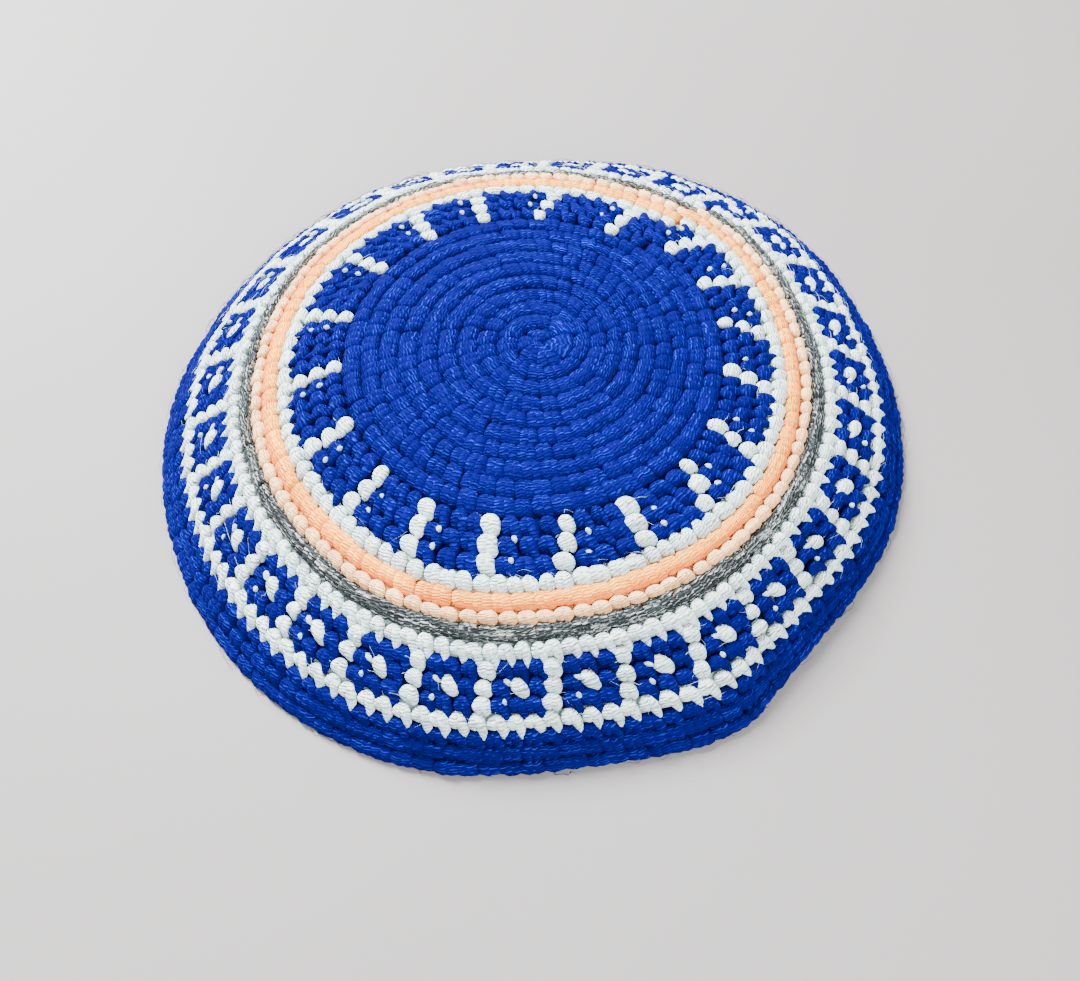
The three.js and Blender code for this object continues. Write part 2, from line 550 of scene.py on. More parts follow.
# A spot of carried yarn that shows between two stitches.
PEEK = (
    Ring(-0.20, 0.0, 0.0, 1.50, 0.0),
    Ring(-0.12, 0.0, 0.12, 1.72, 0.42),
    Ring(0.0, 0.02, 0.165, 1.82, 0.56),
    Ring(0.12, 0.04, 0.12, 1.72, 0.42),
    Ring(0.21, 0.06, 0.0, 1.50, 0.0),
)
# A short slanted knob of yarn beside a window's middle stitch.
NUB = (
    Ring(-0.15, -0.08, 0.0, 1.10, 0.0),
    Ring(-0.09, -0.06, 0.17, 1.32, 0.55),
    Ring(0.04, 0.02, 0.24, 1.42, 0.78),
    Ring(0.19, 0.14, 0.22, 1.35, 0.75),
    Ring(0.32, 0.26, 0.0, 0.95, 0.0),
)
# One link of the chain that the edging row's top loops make.
CHAIN_LINK = (
    Ring(-0.62, 0.24, 0.0, 0.35, 0.0),
    Ring(-0.42, 0.17, 0.15, 0.55, 0.60),
    Ring(-0.08, 0.04, 0.22, 0.75, 0.85),
    Ring(0.28, -0.10, 0.20, 0.80, 0.80),
    Ring(0.55, -0.20, 0.12, 0.65, 0.55),
    Ring(0.72, -0.27, 0.0, 0.40, 0.0),
)
# Single fibres of the nap: one arches over its stitch, one lies along the round.
FIBRE_ACROSS = (
    Ring(0.05, -0.20, 0.0, 1.20, 0.0),
    Ring(0.14, -0.14, 0.012, 1.80, 0.045),
    Ring(0.32, 0.04, 0.012, 2.36, 0.045),
    Ring(0.52, 0.10, 0.012, 2.42, 0.045),
    Ring(0.72, 0.00, 0.010, 2.25, 0.040),
    Ring(0.95, 0.12, 0.0, 1.90, 0.0),
)
FIBRE_ALONG = (
    Ring(-0.50, 0.42, 0.0, 1.30, 0.0),
    Ring(-0.40, 0.40, 0.012, 1.95, 0.045),
    Ring(-0.12, 0.32, 0.012, 2.42, 0.045),
    Ring(0.14, 0.38, 0.012, 2.50, 0.045),
    Ring(0.36, 0.48, 0.010, 2.30, 0.040),
    Ring(0.60, 0.44, 0.0, 2.20, 0.0),
)


class Look(Enum):
    """How a stitch shows on the outside."""

    LOOPED = 0
    RIDGE = 1
    CENTRE = 2
    PLUMP = 3


class Face(Enum):
    """The side of the fabric on which a stitch shows."""

    OUTSIDE = "outside"
    INSIDE = "inside"


@dataclass
class Stitches:
    """Many stitches as columns, one entry a stitch.

    place is the round that a stitch starts at, turn its middle, wide its width in turns, tall its
    height in rounds, and yarn the number of its yarn in its band.
    """

    place: np.ndarray
    turn: np.ndarray
    wide: np.ndarray
    tall: np.ndarray
    yarn: np.ndarray

    def __len__(self) -> int:
        """Number of stitches."""
        return len(self.place)

    @classmethod
    def joined(cls, groups: list["Stitches"]) -> "Stitches":
        """Several groups as one."""
        return cls(*(np.concatenate(columns) for columns in zip(*(group.columns() for group in groups))))

    @classmethod
    def whole(cls, place: np.ndarray, turn: np.ndarray, wide: np.ndarray) -> "Stitches":
        """Stitches one round tall, in their band's first yarn."""
        return cls(place, turn, wide, np.ones(len(turn)), np.zeros(len(turn), int))

    def columns(self) -> list[np.ndarray]:
        """The columns in their order."""
        return [getattr(self, column.name) for column in fields(self)]

    def moved(self, rounds: float, stitches: float) -> "Stitches":
        """The same stitches, some rounds further out and some stitches further on."""
        return replace(self, place=self.place + rounds, turn=self.turn + stitches * self.wide)

    def picked(self, chosen: np.ndarray) -> "Stitches":
        """Only the chosen stitches."""
        return Stitches(*(column[chosen] for column in self.columns()))


@dataclass
class Hand:
    """The small unevenness of hand work, as shares of a stitch, of a round or of the strand's own size.

    held_at is how many times its amount a draw may be off at most.
    """

    seed: int
    sideways: float = 0.045
    lengthways: float = 0.03
    width: float = 0.07
    height: float = 0.06
    loft: float = 0.08
    lean: float = 0.05
    tail: float = 0.10
    held_at: float = 2.2

    def __post_init__(self) -> None:
        """Starts the draws from the seed."""
        self.draws = np.random.default_rng(self.seed)

    def spread(self, count: int, amount: float) -> np.ndarray:
        """Draws round nothing, mostly within the amount."""
        most = self.held_at * amount
        return self.draws.normal(0.0, amount, count).clip(-most, most)


def stray_hand(seed: int) -> Hand:
    """How far loose fibres stray: much further than stitches do."""
    return Hand(seed, sideways=0.30, lengthways=0.26, width=0.30, height=0.30, loft=0.09, lean=0.9, tail=0.0)


@dataclass
class Layer:
    """Mesh data of one piece while it is put together."""

    points: list[np.ndarray] = field(default_factory=list)
    loops: list[np.ndarray] = field(default_factory=list)
    starts: list[np.ndarray] = field(default_factory=list)
    threads: list[np.ndarray] = field(default_factory=list)
    tones: list[np.ndarray] = field(default_factory=list)
    reaches: list[np.ndarray] = field(default_factory=list)
    yarns: list[np.ndarray] = field(default_factory=list)
    point_count: int = 0
    loop_count: int = 0

    def add(self, fabric: Fabric, pattern: Pattern, stitches: Stitches, face: Face, hand: Hand) -> None:
        """Copies a pattern to every stitch, bent to the fabric.

        Args:
            fabric: The surface that the stitches lie in.
            pattern: The modelled strand.
            stitches: Where the copies go.
            face: The side of the fabric that they show on.
            hand: The unevenness of the hand work.
        """
        count, size = len(stitches), len(pattern.points)
        if count == 0:
            return
        side, run, lift = pattern.points.T
        lean, tail, width, sideways, height, lengthways, loft = (
            hand.spread(count, amount)[:, None]
            for amount in (
                hand.lean, hand.tail, hand.width, hand.sideways, hand.height, hand.lengthways, hand.loft
            )
        )
        sides = side * (1 + width) + lean * (run - MIDDLE) + sideways
        runs = run + np.maximum(run - TAIL_FROM, 0.0) * tail
        runs = (runs - MIDDLE) * (1 + height) + MIDDLE + lengthways
        lifts = lift * (1 + loft) * MM
        turn = stitches.turn[:, None] + sides * stitches.wide[:, None]
        place = stitches.place[:, None] + runs * stitches.tall[:, None]
        if face is Face.OUTSIDE:
            depth = OUTER_GROUND - lifts
            body = pattern.turned()
        else:
            depth = fabric.thickness - OUTER_GROUND + INNER_SINK + lifts
            body = pattern
        tone = hand.draws.random(count)
        copy = np.arange(count)[:, None]
        corners = len(body.loops)
        self.points.append(fabric.spiral_point(place.ravel(), turn.ravel(), depth.ravel()))
        self.tones.append(np.repeat(tone, size))
        self.reaches.append(np.tile(run, count))
        self.loops.append((body.loops + copy * size).ravel() + self.point_count)
        self.starts.append((body.starts + copy * corners).ravel() + self.loop_count)
        shift = np.stack([np.zeros(count), tone], axis=1)[:, None, :]
        self.threads.append((body.threads + shift).reshape(-1, 2))
        self.yarns.append(np.repeat(stitches.yarn, len(body.starts)))
        self.point_count += count * size
        self.loop_count += count * corners

    def make(self, name: str) -> bpy.types.Object:
        """Turns the arrays into one object.

        Args:
            name: The object's name.

        Returns:
            The new object, with its thread coordinates, tones and yarn numbers.
        """
        mesh = bpy.data.meshes.new(name)
        mesh.vertices.add(self.point_count)
        mesh.vertices.foreach_set("co", np.concatenate(self.points).ravel())
        mesh.loops.add(self.loop_count)
        mesh.loops.foreach_set("vertex_index", np.concatenate(self.loops))
        starts = np.concatenate(self.starts)
        mesh.polygons.add(len(starts))
        mesh.polygons.foreach_set("loop_start", starts)
        mesh.polygons.foreach_set("material_index", np.concatenate(self.yarns).astype(int))
        mesh.update(calc_edges=True)
        threads = mesh.uv_layers.new(name=THREAD_MAP)
        threads.data.foreach_set("uv", np.concatenate(self.threads).ravel())
        for attribute, values in ((TONE, self.tones), (REACH, self.reaches)):
            numbers = mesh.attributes.new(name=attribute, type="FLOAT", domain="POINT")
            numbers.data.foreach_set("value", np.concatenate(values))
        mesh.polygons.foreach_set("use_smooth", np.ones(len(starts), bool))
        mesh.validate()
        made = bpy.data.objects.new(name, mesh)
        bpy.context.collection.objects.link(made)
        return made


# Yarns


# How a screen's colour numbers become amounts of light: straight at first, and then by a power.
BYTE = 255
STRAIGHT_UNTIL = 0.04045
STRAIGHT_SLOPE = 12.92
LIGHT_SHIFT = 0.055
LIGHT_POWER = 2.4


def shade(hexadecimal: str) -> tuple[float, float, float, float]:
    """A colour as the shaders take it.

    Args:
        hexadecimal: The colour as six hexadecimal digits.

    Returns:
        Its linear red, green, blue and alpha.
    """
    parts = np.array([int(hexadecimal[place : place + 2], 16) / BYTE for place in (0, 2, 4)])
    curved = ((parts + LIGHT_SHIFT) / (1 + LIGHT_SHIFT)) ** LIGHT_POWER
    linear = np.where(parts <= STRAIGHT_UNTIL, parts / STRAIGHT_SLOPE, curved)
    return (*linear.tolist(), 1.0)


class Board:
    """Lays out the nodes of one material."""

    def __init__(self, name: str) -> None:
        """Starts a material without any nodes.

        Args:
            name: The material's name.
        """
        self.material = bpy.data.materials.new(name)
        self.material.use_nodes = True
        self.tree = self.material.node_tree
        self.tree.nodes.clear()

    def node(self, kind: str, inputs: dict | None = None, **settings: object) -> bpy.types.Node:
        """Adds a node.

        Args:
            kind: The node's type name.
            inputs: Values or sockets by input name or number.
            **settings: Properties of the node.

        Returns:
            The new node.
        """
        made = self.tree.nodes.new(kind)
        for name, value in settings.items():
            setattr(made, name, value)
        for name, value in (inputs or {}).items():
            if isinstance(value, bpy.types.NodeSocket):
                self.tree.links.new(value, made.inputs[name])
            else:
                made.inputs[name].default_value = value
        return made

    def math(self, operation: str, *values: object) -> bpy.types.NodeSocket:
        """Adds a sum of one to three values and gives its result."""
        return self.node("ShaderNodeMath", dict(enumerate(values)), operation=operation).outputs[0]

    def blend(self, share: object, low: object, high: object) -> bpy.types.NodeSocket:
        """Mixes two colours and gives the result."""
        mixed = self.node("ShaderNodeMix", {0: share, 6: low, 7: high}, data_type="RGBA")
        return mixed.outputs[2]

    def weigh(self, first: object, share: float, second: object, other: float) -> bpy.types.NodeSocket:
        """Adds a share of one value to another share of a second one."""
        return self.math("MULTIPLY_ADD", second, other, self.math("MULTIPLY", first, share))

    def noise(self, vector: object, grain: "Grain") -> bpy.types.NodeSocket:
        """Adds a noise on the given coordinates and gives its value."""
        inputs = {"Scale": grain.scale, "Detail": grain.detail, "Roughness": grain.roughness}
        return self.node("ShaderNodeTexNoise", {"Vector": vector, **inputs}).outputs[0]

    def spread(self, value: object, low: float, high: float) -> bpy.types.NodeSocket:
        """Stretches a value from low..high to 0..1 and holds it there."""
        ranged = self.node("ShaderNodeMapRange", {0: value, 1: low, 2: high}, clamp=True)
        return ranged.outputs[0]


@dataclass(frozen=True)
class Grain:
    """One noise: its scale, in turns a metre or a streak, and how it breaks up."""

    scale: float
    detail: float
    roughness: float = 0.5


# What all yarns have alike. A pair of numbers is where a colour starts to show and where it shows in full.
WANDER_GRAIN = Grain(420.0, 1.0)
FIBRE_GRAIN = Grain(1.0, 2.0, 0.7)
FLECK_GRAIN = Grain(1.1, 2.0, 0.6)
FUZZ_GRAIN = Grain(4200.0, 2.0)
DYE_GRAIN = Grain(90.0, 2.0)
FIBRES_SHOW = (0.36, 0.66)
# Where the body colour covers the painted shade between the plies.
BODY_SHOWS = (0.12, 0.58)
# Where the painted shade at a stitch's foot starts, and where it is full.
PAINTED_FOOT_SHADE_SHOWS = (0.42, 0.95)
FLECK_EDGE = 0.07
FLECK_COVER = 0.9


@dataclass(frozen=True)
class Yarn:
    """A plied acrylic yarn: its dye with painted shade and highlights, its twist and its nap.

    The colours are six hexadecimal digits each: the body's own, painted shade between the plies, a painted
    highlight on top of them, painted shade where a stitch ends, in the groove under its round, and the
    flecks' own. plies is how many of them cross a strand's length, and lean how many more a turn round
    the strand adds.
    """

    name: str
    body: str
    # The next three colours are painted light: shade between the plies, a highlight on them, and shade at a
    # stitch's foot.
    hollow: str
    crest: str
    foot: str
    foot_share: float = 0.35
    crest_from: float = 0.55
    fleck: str = ""
    fleck_share: float = 0.0
    nap: float = 0.1
    gloss: float = 0.12
    roughness: float = 0.8
    sheen_roughness: float = 0.45
    plies: float = 9.0
    lean: float = 2.0
    wander: float = 1.4
    ply_roundness: float = 1.6
    ply_share: float = 0.45
    streaks_around: float = 4.0
    streaks_a_ply: float = 1.5
    streaks_apart: float = 60.0
    tone_share: float = 0.12
    dye_share: float = 0.16
    least_bright: float = 0.86
    fuzz_share: float = 0.25
    relief: float = 0.40 * MM

    def material(self) -> bpy.types.Material:
        """Builds the yarn's material on the thread coordinates of the stitches.

        Returns:
            The finished material.
        """
        board = Board(self.name)
        place = board.node("ShaderNodeTexCoord").outputs["Object"]
        tone = board.node("ShaderNodeAttribute", attribute_name=TONE).outputs["Fac"]
        twist, streaks = self._lay(board, place, tone)
        off = board.math("MULTIPLY_ADD", board.math("FRACT", twist), 2.0, -1.0)
        slope = board.math("POWER", board.math("ABSOLUTE", off), self.ply_roundness)
        ply = board.math("SUBTRACT", 1.0, slope)
        fibres = board.spread(board.noise(streaks, FIBRE_GRAIN), *FIBRES_SHOW)
        strand = board.weigh(ply, self.ply_share, fibres, 1 - self.ply_share)
        # The strand's relief sets its painted shade between the plies and its painted highlight on them.
        colour = self._dye(board, strand, streaks)
        uneven = board.weigh(tone, self.tone_share, board.noise(place, DYE_GRAIN), self.dye_share)
        bright = board.math("ADD", uneven, self.least_bright)
        colour = board.node("ShaderNodeHueSaturation", {"Color": colour, "Value": bright}).outputs[0]
        raised = board.weigh(ply, MIDDLE, fibres, MIDDLE)
        raised = board.math("MULTIPLY_ADD", board.noise(place, FUZZ_GRAIN), self.fuzz_share, raised)
        bump = board.node("ShaderNodeBump", {"Strength": 1.0, "Distance": self.relief, "Height": raised})
        surface = board.node(
            "ShaderNodeBsdfPrincipled",
            {
                "Base Color": colour,
                "Roughness": self.roughness,
                "Normal": bump.outputs[0],
                "Sheen Weight": self.nap,
                "Sheen Roughness": self.sheen_roughness,
                "Sheen Tint": shade(self.crest),
                "Specular IOR Level": self.gloss,
            },
        )
        board.node("ShaderNodeOutputMaterial", {0: surface.outputs[0]})
        return board.material

    def _lay(self, board: Board, place: object, tone: object) -> tuple[object, object]:
        """Lays the plies and fibres on the strand's own coordinates.

        Args:
            board: The material's nodes.
            place: Where a point is on the cap.
            tone: The stitch's own number from 0 to 1.

        Returns:
            How many plies lie before a point, and the coordinates that streaks are drawn on.
        """
        threads = board.node("ShaderNodeUVMap", uv_map=THREAD_MAP).outputs[0]
        around, along, _ = board.node("ShaderNodeSeparateXYZ", {0: threads}).outputs
        twist = board.weigh(along, self.plies, board.noise(place, WANDER_GRAIN), self.wander)
        twist = board.math("MULTIPLY_ADD", around, self.lean, twist)
        parts = ((around, self.streaks_around), (twist, self.streaks_a_ply), (tone, self.streaks_apart))
        axes = {axis: board.math("MULTIPLY", *part) for axis, part in enumerate(parts)}
        return twist, board.node("ShaderNodeCombineXYZ", axes).outputs[0]

    def _dye(self, board: Board, strand: object, streaks: object) -> object:
        """Colours the strand: painted shade in its hollows and at its foot, a painted highlight on its
        crests, and its flecks.

        Args:
            board: The material's nodes.
            strand: How high a point lies in the strand's own relief, from 0 to 1, which sets its painted
                shade and highlight.
            streaks: The coordinates that streaks are drawn on.

        Returns:
            The colour.
        """
        reach = board.node("ShaderNodeAttribute", attribute_name=REACH).outputs["Fac"]
        # Painted shade between the plies under the body colour, then a painted highlight on the ply tops.
        colour = board.blend(board.spread(strand, *BODY_SHOWS), shade(self.hollow), shade(self.body))
        colour = board.blend(board.spread(strand, self.crest_from, 1.0), colour, shade(self.crest))
        # Painted shade: each stitch darkens towards its foot, in the groove under its round.
        low = board.math("MULTIPLY", board.spread(reach, *PAINTED_FOOT_SHADE_SHOWS), self.foot_share)
        colour = board.blend(low, colour, shade(self.foot))
        if not self.fleck:
            return colour
        from_here = 1 - self.fleck_share
        flecks = board.spread(board.noise(streaks, FLECK_GRAIN), from_here, from_here + FLECK_EDGE)
        return board.blend(board.math("MULTIPLY", flecks, FLECK_COVER), colour, shade(self.fleck))


# Each yarn's colours: body, painted shade between the plies, painted highlight on them, painted shade at a
# stitch's foot.
ROYAL_BLUE = Yarn(
    "royal_blue_yarn", "000057", "000144", "0227C0", "00014A", foot_share=0.5, crest_from=0.70, nap=0.0,
    gloss=0.05,
)
WHITE = Yarn("white_yarn", "D6EEEA", "56706E", "F4FFFF", "B8D0E0", nap=0.2)
PEACH = Yarn("peach_yarn", "FF9E30", "DE6008", "FFDC7E", "F06604", foot_share=0.75)
CREAM = Yarn("cream_yarn", "FFD098", "DC8C48", "FFF0C8", "F8A660", foot_share=0.65)
GREY = Yarn(
    "flecked_grey_yarn", "22282A", "060A0B", "545E5F", "101416", foot_share=0.6, fleck="B0B8B7",
    fleck_share=0.45,
)


# The colour pattern


@dataclass(frozen=True)
class PointRow:
    """One white point: its first stitch's angle, and how far each further stitch stands from it."""

    angle: float
    slant: float


# The white points, read one by one from the photograph, from the front towards +X.
POINTS = (
    PointRow(-164.5, -0.4),
    PointRow(-145.4, -0.8),
    PointRow(-125.3, 0.0),
    PointRow(-103.3, 0.0),
    PointRow(-84.0, 1.1),
    PointRow(-62.6, 0.2),
    PointRow(-43.4, -0.2),
    PointRow(-26.9, 0.1),
    PointRow(-9.3, 0.0),
    PointRow(10.2, -1.0),
    PointRow(26.6, 0.1),
    PointRow(47.9, -2.0),
    PointRow(63.2, -0.7),
    PointRow(83.3, -1.2),
    PointRow(101.2, -1.7),
    PointRow(116.6, -0.6),
    PointRow(133.4, -1.2),
    PointRow(152.2, -0.8),
    PointRow(177.0, -1.8),
)

# Angles of the white columns between the windows; the last four, at the back, are spaced evenly.
COLUMN_ANGLES = (
    -148.5, -134.5, -121.0, -108.5, -96.4, -83.3, -72.2, -61.8, -50.8, -39.5, -28.3, -17.0, -6.2,
    4.3, 15.7, 27.5, 38.9, 50.5, 62.7, 75.4, 87.8, 99.0, 109.9, 121.7, 132.9, 143.5, 155.5,
    166.7, 177.9, 189.1, 200.3,
)
WINDOW_STITCHES = 4
WINDOW_MIDDLE = 2
# How far each round's columns have moved on from the last one's, in stitches.
COLUMN_DRIFT = -0.08


@dataclass(frozen=True)
class Peek:
    """A spot of the carried yarn beside a white stitch, in stitches and rounds from its middle."""

    side: float
    run: float


POINT_PEEK = Peek(1.22, -0.26)
WINDOW_PEEK = Peek(-0.76, 0.72)
WINDOW_NUB = Peek(-0.70, -0.36)


class YarnNumber(Enum):
    """Which yarn of a band is which number."""

    FIRST = 0
    SECOND = 1


@dataclass(frozen=True)
class KnotStitch:
    """One stitch of the drawn-up start, in rounds and turns, which fills the middle of the first ring."""

    place: float
    turn: float
    wide: float
    tall: float


START_KNOT = (KnotStitch(0.0, 0.45, 0.5, 0.5), KnotStitch(0.62, 0.99, 0.13, 0.85))


@dataclass
class Chart:
    """Lays stitches out round by round."""

    fabric: Fabric
    stitch_width: float = 4.15 * MM
    first_ring: int = 6

    def crown(self, rounds: int) -> Stitches:
        """Plain stitches of one width from the middle outwards, in one unbroken spiral.

        Args:
            rounds: How many rounds the crown has.

        Returns:
            The crown's stitches, and its start.
        """
        pitch = self.fabric.length / self.fabric.shares_in_all
        places = [step / self.first_ring for step in range(self.first_ring)]
        widths = [1 / self.first_ring] * self.first_ring
        at = 1.0
        while at < rounds:
            around = 2 * math.pi * (at + MIDDLE) * pitch
            places.append(at)
            widths.append(self.stitch_width / around)
            at += widths[-1]
        spiral = np.array(places)
        ring = np.floor(spiral)
        plain = Stitches.whole(ring, spiral - ring, np.array(widths))
        knot = np.array([astuple(stitch) for stitch in START_KNOT]).T
        return Stitches.joined([plain, Stitches(*knot, np.zeros(len(START_KNOT), int))])

    def plain_round(self, number: int, count: int, offset: float = 0.0) -> Stitches:
        """A round of evenly spaced stitches.

        Args:
            number: The round.
            count: How many stitches it has.
            offset: How far the first one stands from the seam, in stitches.

        Returns:
            The round's stitches.
        """
        turn = (np.arange(count) + MIDDLE + offset) / count % 1.0
        return Stitches.whole(np.full(count, float(number)), turn, np.full(count, 1 / count))

    def keyed_round(
        self, number: int, angles: tuple[float, ...], counts: list[int], drift: float = 0.0
    ) -> tuple[Stitches, np.ndarray]:
        """A round whose stitches are counted off between given columns.

        Args:
            number: The round.
            angles: The columns' angles in degrees, rising.
            counts: How many stitches there are from each column to the next.
            drift: How far this round's columns have moved on, in stitches.

        Returns:
            The round's stitches, and each one's number from its column.
        """
        gaps = np.diff([*angles, angles[0] + FULL_TURN]) / counts / FULL_TURN
        steps = np.concatenate([np.arange(count) for count in counts])
        wide = np.repeat(gaps, counts)
        turn = np.repeat(angles, counts) / FULL_TURN + (steps + drift) * wide
        turn = (turn - self.fabric.seam_angle / FULL_TURN) % 1.0
        return Stitches.whole(np.full(len(turn), float(number)), turn, wide), steps

    def window_round(self, number: int) -> tuple[Stitches, np.ndarray]:
        """A round counted off between the window columns.

        Args:
            number: The round.

        Returns:
            The round's stitches, and each one's number from its column.
        """
        step = number - self.fabric.first_round("window_band")
        counts = [WINDOW_STITCHES] * len(COLUMN_ANGLES)
        return self.keyed_round(number, COLUMN_ANGLES, counts, COLUMN_DRIFT * step)


@dataclass
class Ground:
    """The close yarn between and under the stitches: a thin closed wall in the middle of the fabric."""

    fabric: Fabric
    columns: int = 124
    rows_a_round: int = 2
    wall: float = 0.95 * MM
    # Where the wall lies on the thread map, and what it has for a stitch's tone and reach. A reach of one
    # gives the wall the full painted shade of a stitch's foot, as in the grooves.
    threads_a_column: float = 0.5
    threads_a_round: float = 1.5
    tone: float = 0.2
    reach: float = 1.0

    def build(self, name: str, first: int, rounds: int, yarn_of_round: list[int]) -> bpy.types.Object:
        """Shapes the wall from a flat grid.

        Args:
            name: The object's name.
            first: The wall's first round.
            rounds: How many rounds it has.
            yarn_of_round: The number of the yarn of each round.

        Returns:
            The wall, laid into the fabric.
        """
        bpy.ops.object.select_all(action="DESELECT")
        bpy.ops.mesh.primitive_grid_add(
            x_subdivisions=self.columns, y_subdivisions=self.rows_a_round * rounds, size=2.0
        )
        wall = bpy.context.object
        wall.name = wall.data.name = name
        mesh = wall.data
        sideways, lengthways, _ = read_all(mesh.vertices, "co", 3).T
        turn = np.where(sideways > 1 - NEARLY_NOTHING, 0.0, (sideways + 1) / 2)
        place = first + (lengthways + 1) / 2 * rounds
        laid = self.fabric.spiral_point(place, turn, np.full(len(place), OUTER_GROUND))
        mesh.vertices.foreach_set("co", laid.ravel())
        mesh.update()
        loops, starts = read_faces(mesh)
        layer = mesh.uv_layers.active
        layer.name = THREAD_MAP
        threads = np.stack(
            [turn * self.columns * self.threads_a_column, place * self.threads_a_round], axis=1
        )
        layer.data.foreach_set("uv", threads[loops].ravel())
        lowest = np.minimum.reduceat(place[loops], starts)
        rows = np.clip((lowest - first + NEARLY_NOTHING).astype(int), 0, rounds - 1)
        mesh.polygons.foreach_set("material_index", np.array(yarn_of_round)[rows])
        self._close(wall)
        for attribute, value in ((TONE, self.tone), (REACH, self.reach)):
            numbers = wall.data.attributes.new(name=attribute, type="FLOAT", domain="POINT")
            numbers.data.foreach_set("value", np.full(len(wall.data.vertices), value))
        return wall

    def _close(self, wall: bpy.types.Object) -> None:
        """Joins the wall's ends, turns it outwards and gives it its thickness.

        Args:
            wall: The laid wall, still one sheet.
        """
        bpy.ops.object.mode_set(mode="EDIT")
        bpy.ops.mesh.select_all(action="SELECT")
        bpy.ops.mesh.remove_doubles(threshold=NEARLY_NOTHING)
        bpy.ops.mesh.normals_make_consistent(inside=False)
        bpy.ops.object.mode_set(mode="OBJECT")
        if sum(face.normal.z * face.area for face in wall.data.polygons) < 0:
            wall.data.flip_normals()
        solid = wall.modifiers.new("wall", "SOLIDIFY")
        solid.thickness = self.wall
        solid.offset = -1.0
        bpy.ops.object.modifier_apply(modifier=solid.name)
        points = read_all(wall.data.vertices, "co", 3)
        points[:, 2] = np.maximum(points[:, 2], 0.0)
        wall.data.vertices.foreach_set("co", points.ravel())
        bpy.ops.object.shade_smooth()


# The pieces


@dataclass
class StitchBook:
    """The strands that every stitch is made of, each modelled once."""

    def __post_init__(self) -> None:
        """Models the strands."""
        self.outside = {
            Look.LOOPED: (Strand(SHORT_LEG, sides=7).build(), Strand(LONG_LEG).build()),
            Look.RIDGE: (Strand(RIDGE_LEFT).build(), Strand(RIDGE_RIGHT).build()),
            Look.CENTRE: (Strand(CENTRE_BODY, sides=10).build(),),
            Look.PLUMP: (Strand(SHORT_LEG).build(), Strand(PLUMP_LEG).build()),
        }
        self.nub = Strand(NUB).build()
        self.back_bar = Strand(BACK_BAR, Axis.ALONG, sides=6).build()
        self.peek = Strand(PEEK, sides=6).build()
        self.chain_link = Strand(CHAIN_LINK, Axis.ALONG, sides=6).build()
        self.fibres = (
            Strand(FIBRE_ACROSS, sides=3).build(),
            Strand(FIBRE_ALONG, Axis.ALONG, sides=3).build(),
        )


@dataclass
class YarnPiece:
    """One stretch of the fabric with its stitches, in its own yarn or pair of yarns."""

    node: str
    slot: str
    seed: int
    yarns: tuple[Yarn, ...]
    fabric: Fabric
    book: StitchBook
    materials: dict[str, bpy.types.Material]
    outside_seed: int = 50
    fibre_seed: int = 90
    fibre_share: float = 0.6

    def __post_init__(self) -> None:
        """Finds the piece's rounds."""
        self.first = self.fabric.first_round(self.node)
        self.rounds = next(band.rounds for band in self.fabric.bands if band.node == self.node)
        self.chart = Chart(self.fabric)

    def stitches(self) -> Stitches:
        """The stitches of the piece, charted by its own class."""
        raise NotImplementedError

    def looks(self, laid: Stitches) -> np.ndarray:
        """Number of each stitch's look: plain rounds read as ridges."""
        return np.full(len(laid), Look.RIDGE.value)

    def peeks(self) -> Stitches | None:
        """Spots of carried yarn, where the piece has them."""
        return None

    def ground_yarns(self) -> list[int]:
        """Number of the yarn of the ground in each round."""
        return [YarnNumber.FIRST.value] * self.rounds

    def extras(self, layer: Layer, hand: Hand) -> None:
        """Adds what only this piece has."""

    def build(self) -> bpy.types.Object:
        """Models, dresses and registers the piece.

        Returns:
            The finished piece.
        """
        laid = self.stitches()
        piece = self._lay(laid).make(f"{self.node}_stitches")
        under = self.ground_yarns()
        ground = Ground(self.fabric).build(f"{self.node}_ground", self.first, self.rounds, under)
        for made in (ground, piece):
            for yarn in self.yarns:
                made.data.materials.append(self.materials[yarn.name])
        bpy.ops.object.select_all(action="DESELECT")
        ground.select_set(True)
        piece.select_set(True)
        bpy.context.view_layer.objects.active = piece
        bpy.ops.object.join()
        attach(piece, "root")
        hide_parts(self.node)
        LOG.info("%s: %d stitches, %d faces", piece.name, len(laid), len(piece.data.polygons))
        return piece

    def _lay(self, laid: Stitches) -> Layer:
        """Copies the strands to the stitches.

        Args:
            laid: The piece's stitches.

        Returns:
            Everything of the piece but its ground.
        """
        hand = Hand(self.seed)
        layer = Layer()
        looks = self.looks(laid)
        for look, strands in self.book.outside.items():
            chosen = laid.picked(looks == look.value)
            for strand in strands:
                layer.add(self.fabric, strand, chosen, Face.OUTSIDE, Hand(self.seed + self.outside_seed))
        layer.add(self.fabric, self.book.back_bar, laid, Face.INSIDE, hand)
        spots = self.peeks()
        if spots is not None:
            layer.add(self.fabric, self.book.peek, spots, Face.OUTSIDE, hand)
        self.extras(layer, hand)
        stray = stray_hand(self.seed + self.fibre_seed)
        for fibre in self.book.fibres:
            fuzzy = laid.picked(stray.draws.random(len(laid)) < self.fibre_share)
            layer.add(self.fabric, fibre, fuzzy, Face.OUTSIDE, stray)
        return layer


class Crown(YarnPiece):
    """The plain blue middle, worked from its centre."""

    def stitches(self) -> Stitches:
        """Plain stitches in one spiral."""
        return self.chart.crown(self.rounds)


